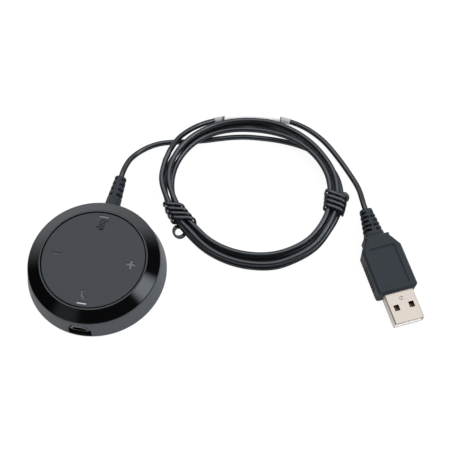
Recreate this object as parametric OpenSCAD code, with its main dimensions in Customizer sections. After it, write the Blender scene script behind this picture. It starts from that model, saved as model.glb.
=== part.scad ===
// Inline USB headset controller: a round desk puck with a four-way press plate,
// a headset socket in front, and a tied coil of cable with its plug behind.
// The origin is under the middle of the puck, on the desk. The cable leaves
// along +Y and the headset socket faces -Y.

/* [Housing] */
// Radius of the housing at its foot
puck_r = 27.9; // [26:0.1:31]
// Height of the press plate's face above the desk
puck_h = 12.2; // [11.5:0.1:14]
// Height of the seam between the base and the bezel
seam_h = 9.5; // [9.4:0.05:9.8]
// How far the wall draws in from its foot to the bezel
flare = 1.9; // [1.4:0.1:2.2]
// Width of the bezel, seen from above
bezel_w = 5.4; // [5.2:0.05:5.6]
// Height of the bezel's upright outer edge
bezel_edge = 0.45; // [0.2:0.05:0.8]
// Width of the bezel's flat lip round the press plate
bezel_lip = 0.55; // [0.3:0.05:0.8]
// Thickness of the base wall at its rim
wall = 1.7; // [1.5:0.1:1.9]
// Thickness of the base floor above the foot pad
floor_t = 1.4; // [1.2:0.1:1.5]
// Rounding of the base's lower edge
foot_round = 0.6; // [0.3:0.1:0.9]
// Width of the dark seam groove under the bezel
seam_cut = 0.3; // [0.15:0.05:0.5]

/* [Foot pad] */
// How far the rubber pad stays inside the foot
pad_in = 3.5; // [3:0.1:4]
// Thickness of the rubber pad
pad_t = 1.2; // [1:0.1:1.3]
// How far the pad stands below the base
pad_proud = 0.5; // [0.3:0.1:0.7]

/* [Press plate] */
// Thickness of the press plate
plate_t = 1.6; // [1.4:0.1:1.8]
// Gap between the press plate and the bezel
plate_gap = 0.4; // [0.3:0.05:0.6]
// Distance of the four press points inside the gimbal ring
press_in = 4.6; // [4.4:0.1:5.4]
// Radius of the posts that push the domes
post_r = 1.3; // [1:0.1:1.6]
// Length of a light bar
bar_w = 3.7; // [3:0.1:4.2]
// Width of a light bar
bar_t = 0.85; // [0.7:0.05:1.1]
// Distance of the light bars from the plate's edge
bar_in = 1.65; // [1.65:0.05:2]
// How far the light bars lie below the plate's face
bar_drop = 0.15; // [0.05:0.05:0.4]

/* [Tilt bearings] */
// Radius of a bearing pin
pin_r = 0.6; // [0.5:0.05:0.7]
// Width of the gimbal ring, seen from above
ring_w = 1.8; // [1.5:0.1:2]
// Height of the gimbal ring
ring_h = 2; // [1.7:0.1:2.1]
// Depth of the tilt axes below the press plate
pivot_drop = 1.85; // [1.8:0.05:2]
// Thickness of a bearing ear
ear_t = 1.8; // [1.5:0.1:2]
// Width of a bearing ear
ear_w = 4; // [3:0.1:5]
// Thickness of the inner frame
frame_t = 1.5; // [1.4:0.05:1.6]

/* [Circuit board] */
// Thickness of the circuit board
board_t = 1; // [0.8:0.1:1.1]
// Height of the board above the floor
board_gap = 1.4; // [1.2:0.1:1.5]
// Radius of a snap dome
dome_r = 2.4; // [2:0.1:2.7]
// Height of a snap dome
dome_h = 0.45; // [0.35:0.05:0.55]
// Side of the audio chip
chip_w = 6; // [4:0.1:7]

/* [Screws] */
// Radius of a housing screw's shank
screw_r = 1; // [0.9:0.05:1.1]
// Radius of a housing screw's head
screw_head_r = 1.8; // [1.6:0.05:1.9]
// Radius of the small screws' shank
small_screw_r = 0.8; // [0.7:0.05:0.9]
// Radius of the small screws' head
small_head_r = 1.4; // [1.2:0.05:1.5]

/* [Headset socket] */
// Width of the six-sided mouth
mouth_w = 6.8; // [6:0.1:7.2]
// Height of the six-sided mouth
mouth_h = 3.2; // [2.8:0.1:3.3]
// How far the mouth's side corners reach past its flat top
mouth_slope = 1.4; // [1:0.1:1.6]
// Wall of the socket's shell
socket_wall = 0.35; // [0.25:0.05:0.4]
// Length of the socket's shell
socket_len = 10; // [9.6:0.1:10.4]
// Height of the socket's middle above the desk
socket_z = 4.7; // [4.65:0.05:4.8]

/* [Cable] */
// Diameter of the cable
cord_d = 2.3; // [2:0.05:2.35]
// Height of the cable where it leaves the housing
cable_z = 5.2; // [5.1:0.05:5.3]
// Radius of the strain relief at the housing
relief_r1 = 3.3; // [3:0.05:3.35]
// Radius of the strain relief at its tip
relief_r2 = 2.45; // [2:0.05:2.8]
// Length of the strain relief past the wall
relief_len = 14.7; // [13.5:0.1:15.1]
// How far the cable's exit leans to +X, in degrees
relief_lean = 2.5; // [0:0.1:3]
// Rows of slots in the strain relief
relief_rows = 4; // [3:1:5]
// Distance between the rows of slots
slot_pitch = 2.55; // [2:0.05:2.7]
// Width of a slot
slot_w = 1.15; // [0.8:0.05:1.2]

/* [Coil] */
// Long half axis of the coil's inmost turn
coil_a = 33.1; // [32.8:0.1:33.4]
// Short half axis of the coil's inmost turn
coil_b = 28.8; // [28.6:0.1:29]
// Gap between turns that lie side by side under the ties
strand_gap = 0.2; // [0.15:0.05:0.3]
// Step between the two layers of turns
coil_layer = 2.8; // [2.75:0.05:2.9]
// Width of the coated tie strip
tie_w = 1.8; // [1.6:0.05:2]
// Thickness of the coated tie strip
tie_t = 0.95; // [0.8:0.05:1.1]
// Turns of each tie
tie_turns = 4; // [3:1:5]
// Gap between the turns of a tie
tie_space = 0.3; // [0.25:0.05:0.5]
// Thickness of the label round the cable
label_t = 0.2; // [0.15:0.05:0.25]

/* [Plug] */
// Width of the metal shell
shell_w = 12; // [11.8:0.1:12.2]
// Height of the metal shell
shell_h = 4.5; // [4.4:0.05:4.6]
// Wall of the metal shell
shell_t = 0.3; // [0.25:0.05:0.4]
// Length of the metal shell outside the grip
shell_out = 12.4; // [11.8:0.1:13]
// Width of the plug's grip
grip_w = 16.1; // [14.5:0.1:17]
// Height of the plug's grip
grip_h = 8.3; // [7.4:0.1:9]
// Length of the grip in front of its relief
grip_len = 24.7; // [24:0.1:26]
// Length of the sloping rear shoulders
shoulder_len = 6.2; // [4:0.1:8]
// Width of the grip behind its shoulders
shoulder_w = 10.4; // [9.4:0.1:12]
// Length of the plug's relief
tail_len = 13; // [12:0.1:14]
// Rows of slots in the plug's relief
tail_rows = 5; // [3:1:5]

/* [Hidden] */
$fn = 64;

// Named clearances
fit = 0.1;
close_fit = 0.05;
pin_fit = 0.03;
pilot_fit = 0.02;
rest_gap = 0.02;
cut = 1;

// Heights in the housing, from the desk up
floor_z = pad_t + floor_t;
board_z = floor_z + board_gap;
board_top = board_z + board_t;
ledge_z = seam_h - frame_t;
plate_z = puck_h - plate_t;
pivot_z = plate_z - pivot_drop;
dome_top = board_top + dome_h;

// Radii in the housing, from the rim in
bezel_r = puck_r - flare;
pad_r = puck_r - pad_in;
rim_r = bezel_r + fit;
rim_in_r = rim_r - wall;
ledge_w = 1;
ledge_h = 1;
ledge_slope = 1.6;
undercut = 0.6;
ledge_r = rim_in_r - ledge_w;
cavity_r = rim_in_r + undercut;
frame_r = rim_in_r - 1.5 * fit;
hole_r = bezel_r - bezel_w;
plate_r = hole_r - plate_gap;
plate_over = 0.6;
frame_in_r = plate_r - plate_over;
bar_r = plate_r - bar_in;
rib_r = (hole_r + ledge_r) / 2;
rib_w = 0.6;
rib_h = 0.6;

// Gimbal: ears on the frame hold the outer pins, ears on the plate the inner ones
ear_side = 0.9;
ear_in = 1.5;
ear_x = frame_in_r - ear_in;
ring_r = ear_x - ear_side;
ring_in_r = ring_r - ring_w;
press_r = ring_in_r - press_in;
plate_ear_y = ring_in_r - ear_side / 2;
ear_wall = 0.5;
ear_top = pivot_z + pin_r + ear_wall;
ear_foot = pivot_z - pin_r - 1.2 * ear_wall;

// Housing screws stand in posts that meet at post_top
screw_angles = [45, 135, 225, 315];
post_wall = 0.7;
frame_post_r = screw_r + post_wall;
base_post_r = screw_head_r + post_wall - fit;
screw_circle = ledge_r - frame_post_r - fit;
post_rise = 0.4;
post_top = board_z + post_rise;
screw_head_h = 1.2;
head_seat = pad_t + screw_head_h + fit;
tip_gap = 0.4;
screw_tip = ledge_z - tip_gap;

// Circuit board and what stands on it
board_side = 0.5;
board_r = screw_circle - base_post_r - board_side;
stand_in = 3.2;
stand_r = board_r - stand_in;
stand_angles = [20, 160, 200, 340];
board_screw_angles = [20, 200];
stand_wall = 0.9;
stand_post_r = small_screw_r + stand_wall;
small_head_h = 0.9;
part_gap = 0.8;
header = [5, 1.6, 1.2];
header_in = 2.5;
header_y = board_r - header_in;
lamp = [1.6, 0.8, 0.4];
lamp_back_y = header_y - header.y / 2 - part_gap;
chip_t = 1;
crystal = [3.2, 2.5, 0.8];
crystal_gap = [1.4, 0.75];
capacitor = [1.6, 0.8, 0.8];
capacitor_pitch = 2.2;
capacitor_row = chip_w / 2 + part_gap + capacitor.y / 2;

// Headset socket: the shell ends level with the collar of its surround
collar_wall = 0.45;
collar_out = 0.55;
surround_fit = 0.2;
surround_t = 1.1;
surround_out = 0.9;
surround_front = cavity_r + surround_out;
surround_back = surround_front - surround_t;
socket_front = surround_front + collar_out;
socket_back = socket_front - socket_len;
lamp_front_y = -(socket_back - part_gap - lamp.y / 2);
opening_grow = socket_wall + fit + collar_wall + surround_fit;
sill_t = 0.3;
sill_z = pad_t + sill_t;
tongue_w = mouth_w * 0.66;
tongue_t = 0.9;
tongue_in = 2;
tongue_drop = 0.5;
tongue_z = socket_z - tongue_drop;
core_back = 1.2;
contact_t = 0.12;
contact_w = 0.45;
contact_in = 2.4;

// Cable inside the housing: its axis leans about a point near the wires
relief_seat = 1.6;
relief_y = rim_in_r + relief_seat;
relief_tip = relief_y + relief_len;
relief_wall = 0.4;
relief_core = cord_d / 2 + relief_wall;
slot_in = 2;
spine_w = 1.6;
flange = [7.2, 1.2, 2 * (cable_z - floor_z - fit)];
flange_in = 1.1;
flange_y = rim_in_r - flange_in;
clamp_w = 2.2;
clamp_gap = 1;
clamp_y = flange_y - clamp_gap - clamp_w / 2;
clamp_wall = 1;
head_gap = 0.15;
clamp_reach = cord_d / 2 + clamp_wall + small_head_r + head_gap;
clamp_ear_t = 1.4;
clamp_post_top = cable_z - close_fit;
clamp_post_r = small_screw_r + post_wall;
cable_out = 0.9;
inner_end_y = clamp_y - clamp_w / 2 - cable_out;
lean_y = inner_end_y + part_gap;
wire_d = 0.5;
wire_in = [0.32, 0.15, 0.75];
wire_pitch = 1;

// Plug's place: the middle of the grip's front face, and the way its shell points
plug_at = [118.9, 7.8];
plug_yaw = -65.2;
plug_mid = grip_h / 2;
shell_in = 3;
shell_corner = 0.4;
grip_round = 0.7;
grip_seam = 0.3;
panel = [16.9, 10.6, 0.4];
panel_in = 2.2;
grip_rib = [0.6, 0.25, 4.2];
grip_ribs = 7;
rib_pitch = 1.5;
rib_in = 4;
tail_w1 = 8.4;
tail_w2 = 5.2;
tail_h2 = 4.6;
tail_wall = 0.6;
tail_slot_in = 1.4;
tail_slot_w = 1.1;
tail_lean = -4;
shoulder_step = 1.9;
neck_in = 0.35;
tail_root = 0.8;
wide_bridge = 1.8;
thin_bridge = 0.6;
window = [2.4, 2.1];
window_x = 6.3;
window_y = 3.05;
dimple_r = 1;
dimple_d = 0.15;
dimple_x = 2.9;
tongue_h = 1.9;
tongue_side = 0.2;
tongue_back = 1.5;
tongue_short = 0.15;
plug_tongue_fit = 0.06;
strip = [7.4, 1.1, 0.2];
strip_x = 3;
strip_pitch = [-3.5, -1, 1, 3.5];

// Coil: two layers of turns round an ellipse, lifted over the ties and the lead
coil_at = [55.5, 45.6];
coil_tilt = -11;
coil_start = 36;
coil_pitch = cord_d + strand_gap;
loop_rings = 24;
coil_rings = 87;
coil_turns = coil_rings / loop_rings;
climb = 0.5;
rise_in = 0.08;
desk_gap = 0.05;
// Angle, lift of the turns above the desk there, how far they spread apart, and how far the
// upper layer draws in
lay = [[-90, 0, 1.54, 0.57], [-70, 0.1, 1.6, 0.3], [-45, 0.5, 1.3, 0], [-22, 1.7, 1.05, 0.2],
    [-2, 2.1, 1.15, 0.5], [12, 2.3, 1.2, 0.5], [25, 2.5, 1.2, 0], [40, 2.7, 1.13, 0],
    [60, 2.55, 1.4, 0], [80, 1.5, 1.76, 0], [100, 1.3, 1.6, 0], [122, 2.2, 1.2, 0],
    [145, 2.9, 1, 0], [160, 2.7, 1.05, 0], [180, 2.3, 1.25, 0.4], [200, 2.1, 1.1, 1.2],
    [227, 2.1, 1.05, 1.6], [246, 0.4, 1.25, 1.1], [257, 0.1, 1.4, 0.8], [270, 0, 1.54, 0.57]];
tie_angles = [217, -2];
tie_gap = 0.35;
tie_power = 0.5;
// Reach of the loop at each tie's free end, and the steps of angle in it
tie_reach = [2.3, 1.9];
// Skew of each tie's turns: how far they run along the bundle as they cross it
tie_skew = [-0.62, -0.17];
tie_pitch = tie_w + tie_space;
tie_loop_rings = 8;
tie_loop_step = 25;
tie_rest = 0.05;

// Route of the cable from the relief to the coil, and from the coil to the plug
lead_route = [[1.4, 48, 4.1], [2.3, 52.6, 2.4], [5, 57.1, 1.4], [8.7, 60.5, 1.2],
    [13, 62.9, 1.2], [18, 64.4, 1.2], [25, 65.9, 1.2], [32, 67.6, 1.2], [38, 69.5, 1.2],
    [44, 71.2, 1.2], [50, 72.3, 1.2], [56, 72.7, 1.2], [62, 72.8, 1.2], [68, 72.4, 1.2],
    [73.4, 71.5, 1.2], [77.9, 70.2, 1.2]];
tail_route = [[21.2, 64.3, 5.4], [25, 70.1, 4.2], [29.6, 74.6, 3.1], [34.4, 77.8, 2.2],
    [39, 79.9, 1.7], [44.6, 81.4, 1.6], [50.6, 82.5, 1.6], [57, 83.3, 1.6], [62.8, 83.6, 1.6],
    [67.6, 83.1, 1.6], [72.2, 82, 1.4], [77.4, 79.8, 1.2], [83.7, 75.3, 1.2], [90.3, 68.2, 1.2],
    [96.6, 59.7, 1.6], [100.4, 53, 2.7]];
straight = 3;
route_step = 0.5;
label_from = 4;
label_to = 10;
cord_sides = 8;
coil_sides = 6;

// Colours of the pieces
matte_grey = "#4c4e52";
gloss_black = "#141517";
frame_black = "#2a2b2d";
soft_black = "#26282b";
cable_black = "#2e3236";
board_green = "#1f5a34";
steel = "#b9bcc0";
nickel = "#d7d0c8";
gold = "#d2a94a";
ceramic = "#a8845c";
light_white = "#e8ebee";
label_white = "#f4f4f2";
tongue_white = "#e9e9e4";
wire_colours = ["#b02a2a", "#e9e9e6", "#2f8a4a", "#1b1b1b"];

// Vector helpers
function unit(v) = v / norm(v);
function ease(s) = let (k = min(1, max(0, s))) k * k * (3 - 2 * k);
function flat(lists) = [for (list = lists) each list];

// Smooth curve through the points of a route, with parts of a step between them
function bend(a, b, c, d, t) =
    (2 * b + (c - a) * t + (2 * a - 5 * b + 4 * c - d) * t * t
    + (3 * b - a - 3 * c + d) * t * t * t) / 2;
function smooth_route(p) = let (n = len(p) - 1)
    concat(flat([for (i = [0:n - 1]) [for (t = [0:route_step:1 - route_step])
        bend(i > 0 ? p[i - 1] : 2 * p[0] - p[1], p[i], p[i + 1],
            i + 2 > n ? 2 * p[n] - p[n - 1] : p[i + 2], t)]]), [p[n]]);

// Rings of a swept tube, squared to the path at each of its points
function tangent(p, i) = unit(p[min(i + 1, len(p) - 1)] - p[max(i - 1, 0)]);
function ring(p, i, r, sides, up, flat) =
    let (t = tangent(p, i), s = unit(cross(t, up)), u = cross(s, t))
    [for (k = [0:sides - 1]) p[i] + r * (cos(360 * k / sides) * s + flat * sin(360 * k / sides) * u)];
function rings(p, r, sides, up, flat = 1) =
    [for (i = [0:len(p) - 1]) ring(p, i, r, sides, up, flat)];

// Least distance between the surfaces of a tube's own stretches, skipping near points
function self_gap(p, d, skip) = min([for (i = [0:len(p) - 1 - skip])
    min([for (j = [i + skip:len(p) - 1]) norm(p[i] - p[j])])]) - d;

// Closed tube over a list of rings
module tube(list) {
    n = len(list[0]);
    last = (len(list) - 1) * n;
    sides = flat([for (i = [0:len(list) - 2]) flat([for (k = [0:n - 1])
        let (a = i * n + k, b = i * n + (k + 1) % n)
        [[a, b, b + n], [a, b + n, a + n]]])]);
    ends = flat([for (k = [1:n - 2]) [[0, k + 1, k], [last, last + k, last + k + 1]]]);
    polyhedron(flat(list), concat(sides, ends));
}

// Centre line of the coil after a number of turns
function laid_between(a, i, column) = a > lay[i + 1][0] ? laid_between(a, i + 1, column)
    : lay[i][column] + (lay[i + 1][column] - lay[i][column])
        * ease((a - lay[i][0]) / (lay[i + 1][0] - lay[i][0]));
function laid(a, column) = laid_between(a - 360 * floor((a + 90) / 360), 0, column);
function coil_point(turn) =
    let (a = coil_start - 360 * turn,
        up = ease((turn - coil_turns / 2 + climb / 2) / climb),
        out = coil_pitch * laid(a, 2) * abs(coil_turns / 2 - turn) - laid(a, 3) * up,
        u = (coil_a + out) * cos(a - coil_tilt),
        v = (coil_b + out) * sin(a - coil_tilt))
    [coil_at.x + u * cos(coil_tilt) - v * sin(coil_tilt),
        coil_at.y + u * sin(coil_tilt) + v * cos(coil_tilt),
        cord_d / 2 + max(laid(a, 1) * ease(turn / rise_in), desk_gap) + coil_layer * up];
small_turn = 0.002;
coil_in_way = unit(coil_point(small_turn) - coil_point(0));
coil_out_way = unit(coil_point(coil_turns) - coil_point(coil_turns - small_turn));
coil_in = coil_point(0) - cord_d * coil_in_way;
coil_out = coil_point(coil_turns) + cord_d * coil_out_way;
coil_path = concat([coil_in], [for (k = [0:coil_rings]) coil_point(k / loop_rings)], [coil_out]);

// Free stretches of cable, straight where they meet the relief, the coil and the plug
relief_way = [sin(relief_lean), cos(relief_lean), 0];
lead_start = [0, lean_y, cable_z] + (relief_tip - lean_y) * relief_way;
lead_path = concat([lead_start], smooth_route(concat([lead_start + straight * relief_way],
    lead_route, [coil_in - straight * coil_in_way])), [coil_in]);
plug_way = [cos(plug_yaw), sin(plug_yaw), 0];
tail_way = [cos(plug_yaw + tail_lean), sin(plug_yaw + tail_lean), 0];
tail_end = [plug_at.x, plug_at.y, plug_mid] - grip_len * plug_way - tail_len * tail_way;
tail_path = concat([coil_out], smooth_route(concat([coil_out + straight * coil_out_way],
    tail_route, [tail_end - straight * tail_way])), [tail_end]);

// One tie: turns of flat strip that follow the bundle's cross section at an angle of the coil
function tie_turn(angle) = let (first = (coil_start - angle) / 360) first < 0 ? first + 1 : first;
function bundle_way(turn) =
    let (way = coil_point(turn + small_turn) - coil_point(turn - small_turn)) [way.x, way.y, 0];
function tie_way(i) = unit(bundle_way(tie_turn(tie_angles[i])));
function turn_step(i) = 2 * small_turn / norm(bundle_way(tie_turn(tie_angles[i])));
function middle_and_half(list) = [max(list) + min(list), max(list) - min(list)] / 2;
function rounded(w) = sign(w) * pow(abs(w), tie_power);
function bundle_at(i, turn) =
    let (strands = [for (k = [0:3]) coil_point(turn + k)], way = tie_way(i))
    [middle_and_half([for (s = strands) s * [way.y, -way.x, 0]]),
        middle_and_half([for (s = strands) s.z])];
function wrap_point(i, turn, shift, a) =
    let (way = tie_way(i),
        room = cord_d / 2 + tie_gap + tie_t / 2,
        lean = tie_skew[i] * (bundle_at(i, turn)[0][1] + room) * rounded(cos(a)),
        here = bundle_at(i, turn + lean * turn_step(i)))
    [way.y, -way.x, 0] * (here[0][0] + (here[0][1] + room) * rounded(cos(a)))
        + way * (coil_point(tie_turn(tie_angles[i])) * way + shift + lean)
        + [0, 0, here[1][0] + (here[1][1] + room) * rounded(sin(a))];
// The free end leaves the bundle's lower outer corner and loops back to it on the desk
tie_corner = 225;
function tie_end(i, base) =
    let (along = tie_way(i),
        out = [-along.y, along.x, 0],
        fall = [0, 0, tie_w / 2 + tie_rest - base.z])
    [for (k = [tie_loop_rings:-1:1]) let (a = tie_loop_step * k)
        base + tie_reach[i] * (sin(a) * out - (1 - cos(a)) * along)
            + ease(2 * k / tie_loop_rings) * fall];
function tie_path(i) =
    let (middle = tie_turn(tie_angles[i]),
        shift = tie_pitch * norm([1, tie_skew[i]]) / loop_rings,
        step = shift * turn_step(i),
        rings = loop_rings * (tie_turns + (180 - tie_corner) / 360),
        turns = [for (k = [0:rings]) let (from = k - rings / 2)
            wrap_point(i, middle + from * step, from * shift, tie_corner + 360 * k / loop_rings)],
        n = len(turns) - 1)
    concat(tie_end(i, turns[0]), turns, [turns[n] + [0, 0, tie_t]]);
tie_slant = 0.35;
function tie_axis(i) = unit(unit(bundle_way(tie_turn(tie_angles[i]))) + [0, 0, tie_slant]);

// Six-sided outline of the headset socket, grown by a margin
function socket_outline(grow) = let (w = mouth_w / 2 + grow, h = mouth_h / 2 + grow, s = mouth_slope)
    [[-w, 0], [s - w, -h], [w - s, -h], [w, 0], [w - s, h], [s - w, h]];

// Opening in the housing: the outline's upper half over straight sides
function opening_outline(grow) =
    let (w = mouth_w / 2 + grow, h = mouth_h / 2 + grow, s = mouth_slope, low = sill_z - socket_z)
    [[-w, low], [w, low], [w, 0], [w - s, h], [s - w, h], [-w, 0]];

// Extrudes an upright outline along -Y between two distances from the middle
module to_front(from, to) {
    translate([0, -from, socket_z]) rotate([90, 0, 0]) linear_extrude(to - from) children();
}

// Puts a piece on the leaning axis of the cable's exit
module at_exit() {
    translate([0, lean_y, cable_z]) rotate(-relief_lean) translate([0, -lean_y, 0]) children();
}

// Cylinder along +Y
module along_y(r1, r2, length) {
    rotate([-90, 0, 0]) cylinder(r1 = r1, r2 = r2, h = length);
}

// Screw with its head up, standing at the underside of its head
module screw(shank_r, shank_len, head_r, head_h) {
    translate([0, 0, -shank_len]) cylinder(r = shank_r, h = shank_len + head_h / 2);
    cylinder(r = head_r, h = head_h);
}

module at_screws(angles, radius) {
    for (a = angles) rotate(a) translate([radius, 0, 0]) children();
}

module foot_pad() {
    color(soft_black) cylinder(r = pad_r, h = pad_t);
}

// Round housing, open above, with screw posts, board stands and cable posts
module base_shell() {
    profile = [[0, pad_t], [pad_r + fit, pad_t], [pad_r + fit, pad_proud],
        [puck_r - foot_round, pad_proud], [puck_r - 0.3 * foot_round, pad_proud + 0.3 * foot_round],
        [puck_r, pad_proud + foot_round], [rim_r, seam_h - seam_cut],
        [rim_r - seam_cut, seam_h], [rim_in_r, seam_h], [rim_in_r, ledge_z], [ledge_r, ledge_z],
        [ledge_r, ledge_z - ledge_h], [cavity_r, ledge_z - ledge_h - ledge_slope],
        [cavity_r, floor_z],
        [0, floor_z]];
    color(matte_grey) difference() {
        union() {
            rotate_extrude($fn = 128) polygon(profile);
            at_screws(screw_angles, screw_circle) translate([0, 0, pad_t + floor_t / 2])
                cylinder(r = base_post_r, h = post_top - pad_t - floor_t / 2);
            at_screws(stand_angles, stand_r) translate([0, 0, pad_t + floor_t / 2])
                cylinder(r = stand_post_r, h = board_z - pad_t - floor_t / 2);
            at_exit() for (side = [-1, 1])
                translate([side * clamp_reach, clamp_y, pad_t + floor_t / 2 - cable_z])
                    cylinder(r = clamp_post_r, h = clamp_post_top - pad_t - floor_t / 2);
        }
        at_screws(screw_angles, screw_circle) {
            cylinder(r = screw_head_r + fit, h = head_seat);
            cylinder(r = screw_r + fit, h = post_top + cut);
        }
        at_screws(board_screw_angles, stand_r) translate([0, 0, pad_t + floor_t / 2])
            cylinder(r = small_screw_r + pilot_fit, h = board_z);
        at_exit() for (side = [-1, 1])
            translate([side * clamp_reach, clamp_y, pad_t + floor_t / 2 - cable_z])
                cylinder(r = small_screw_r + pilot_fit, h = clamp_post_top);
        to_front(pad_r + 2 * fit, puck_r + cut) polygon(opening_outline(opening_grow));
        to_front(ledge_r - cut, pad_r + cut) polygon(socket_outline(socket_wall + fit));
        at_exit() translate([0, relief_y - fit, 0]) along_y(relief_r1 + fit, relief_r1 + fit, puck_r);
        at_exit() translate([0, flange_y, 0]) along_y(relief_core + fit, relief_core + fit, puck_r);
        at_exit() translate([-flange.x / 2 - fit, flange_y - cut, -fit])
            cube([flange.x + 2 * fit, flange.y + cut + fit, ledge_z - cable_z + cut]);
    }
}

module housing_screws() {
    color(steel) at_screws(screw_angles, screw_circle) translate([0, 0, head_seat])
        mirror([0, 0, 1]) screw(screw_r, screw_tip - head_seat, screw_head_r, screw_head_h);
}

// Ring that the bezel sits on, with screw posts below and two bearing ears
module inner_frame() {
    groove = rib_w / 2 + fit;
    profile = [[frame_in_r, ledge_z], [frame_r, ledge_z], [frame_r, seam_h], [rib_r + groove, seam_h],
        [rib_r + groove, seam_h - rib_h - fit], [rib_r - groove, seam_h - rib_h - fit],
        [rib_r - groove, seam_h], [frame_in_r, seam_h]];
    color(frame_black) difference() {
        union() {
            rotate_extrude($fn = 128) polygon(profile);
            at_screws(screw_angles, screw_circle) translate([0, 0, post_top])
                cylinder(r = frame_post_r, h = ledge_z + frame_t / 4 - post_top);
            for (side = [0, 180]) rotate(side) translate([ear_x, -ear_w / 2, ear_foot])
                cube([ear_t, ear_w, ear_top - ear_foot]);
        }
        at_screws(screw_angles, screw_circle) cylinder(r = screw_r + pilot_fit, h = screw_tip + fit);
        for (side = [0, 180]) rotate(side) translate([ear_x - cut, 0, pivot_z]) rotate([0, 90, 0])
            cylinder(r = pin_r + pin_fit, h = ear_t + cut + fit);
    }
}

// Chamfered gloss ring with a rib that drops into the frame's groove
module bezel_ring() {
    profile = [[hole_r, seam_h], [rib_r - rib_w / 2, seam_h], [rib_r - rib_w / 2, seam_h - rib_h],
        [rib_r + rib_w / 2, seam_h - rib_h], [rib_r + rib_w / 2, seam_h], [bezel_r, seam_h],
        [bezel_r, seam_h + bezel_edge], [hole_r + bezel_lip, puck_h], [hole_r, puck_h]];
    color(gloss_black) rotate_extrude($fn = 128) polygon(profile);
}

// Ring with two pins outwards along X and two pins inwards along Y
module gimbal_ring() {
    root = ring_w / 2;
    color(frame_black) union() {
        translate([0, 0, pivot_z - ring_h / 2]) rotate_extrude($fn = 128)
            translate([ring_in_r, 0]) square([ring_w, ring_h]);
        for (side = [0, 180]) rotate(side) translate([ring_r - root, 0, pivot_z]) rotate([0, 90, 0])
            cylinder(r = pin_r, h = root + ear_side + ear_t - fit);
        for (side = [0, 180]) rotate(side) translate([0, plate_ear_y - ear_t - fit, pivot_z])
            along_y(pin_r, pin_r, ear_t + fit + ear_side / 2 + root);
    }
}

// Press plate with its bearing ears, four posts and a stiffening rib below
module button_plate() {
    edge = 0.2;
    profile = [[0, plate_z], [plate_r - edge, plate_z], [plate_r, plate_z + edge],
        [plate_r, puck_h - edge], [plate_r - edge, puck_h], [0, puck_h]];
    post_foot = dome_top + rest_gap;
    stiffener = [0.8, 1];
    color(matte_grey) difference() {
        union() {
            rotate_extrude($fn = 128) polygon(profile);
            for (side = [0, 180]) rotate(side) translate([-ear_w / 2, plate_ear_y - ear_t, ear_foot])
                cube([ear_w, ear_t, plate_z + plate_t / 2 - ear_foot]);
            for (a = [0:90:270]) rotate(a) translate([press_r, 0, post_foot])
                cylinder(r = post_r, h = plate_z + plate_t / 2 - post_foot);
            translate([0, 0, plate_z - stiffener.y]) rotate_extrude()
                translate([press_r - post_r - 2 * stiffener.x, 0])
                    square([stiffener.x, stiffener.y + plate_t / 2]);
        }
        for (side = [0, 180]) rotate(side) {
            translate([0, plate_ear_y - ear_t - cut, pivot_z])
                along_y(pin_r + pin_fit, pin_r + pin_fit, ear_t + 2 * cut);
            translate([-bar_w / 2 - close_fit, bar_r - bar_t / 2 - close_fit, plate_z - cut])
                cube([bar_w + 2 * close_fit, bar_t + 2 * close_fit, plate_t + 2 * cut]);
        }
    }
}

// Clear bar in its window of the plate, with a flange under it
module light_pipe() {
    flange_out = [0.6, 0.3, 0.6];
    color(light_white) union() {
        translate([-bar_w / 2, bar_r - bar_t / 2, plate_z - flange_out.z / 2])
            cube([bar_w, bar_t, plate_t - bar_drop + flange_out.z / 2]);
        translate([-bar_w / 2 - flange_out.x, bar_r - bar_t / 2 - flange_out.y, plate_z - flange_out.z])
            cube([bar_w + 2 * flange_out.x, bar_t + 2 * flange_out.y, flange_out.z]);
    }
}

module mute_light_pipe() {
    light_pipe();
}

module call_light_pipe() {
    rotate(180) light_pipe();
}

// Round board with a notch for the socket
module circuit_board() {
    notch = mouth_w / 2 + socket_wall + 2 * fit;
    color(board_green) difference() {
        translate([0, 0, board_z]) cylinder(r = board_r, h = board_t);
        at_screws(board_screw_angles, stand_r) cylinder(r = small_screw_r + fit, h = board_top + cut);
        translate([-notch, -board_r - cut, 0]) cube([2 * notch, board_r + cut - socket_back + fit, puck_h]);
    }
}

module board_screws() {
    color(steel) at_screws(board_screw_angles, stand_r) translate([0, 0, board_top])
        screw(small_screw_r, board_t + board_gap + floor_t / 4, small_head_r, small_head_h);
}

// Shallow snap dome on the board
module dome() {
    color(steel) translate([0, 0, board_top]) rotate_extrude() polygon([[0, 0], [dome_r, 0],
        [0.75 * dome_r, 0.5 * dome_h], [0.4 * dome_r, 0.88 * dome_h], [0.2 * dome_r, dome_h],
        [0, dome_h]]);
}

module mute_call_domes() {
    for (side = [-1, 1]) translate([0, side * press_r, 0]) dome();
}

module volume_domes() {
    for (side = [-1, 1]) translate([side * press_r, 0, 0]) dome();
}

// Block standing on the board, centred on a place
module on_board(size, at) {
    translate([at.x - size.x / 2, at.y - size.y / 2, board_top]) cube(size);
}

module led_lamps() {
    color(light_white) {
        on_board(lamp, [0, lamp_back_y]);
        on_board(lamp, [0, lamp_front_y]);
    }
}

module audio_chip() {
    color(frame_black) on_board([chip_w, chip_w, chip_t], [0, 0]);
}

module crystal_can() {
    color(steel) on_board(crystal, [chip_w / 2 + crystal_gap.x + crystal.x / 2,
        chip_w / 2 + crystal_gap.y + crystal.y / 2]);
}

// Two rows of three beside the chip
module chip_capacitors() {
    color(ceramic) for (i = [-1:1]) {
        on_board(capacitor, [i * capacitor_pitch, -capacitor_row]);
        on_board([capacitor.y, capacitor.x, capacitor.z], [-capacitor_row, i * capacitor_pitch]);
    }
}

module wire_header() {
    color(label_white) on_board(header, [0, header_y]);
}

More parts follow.
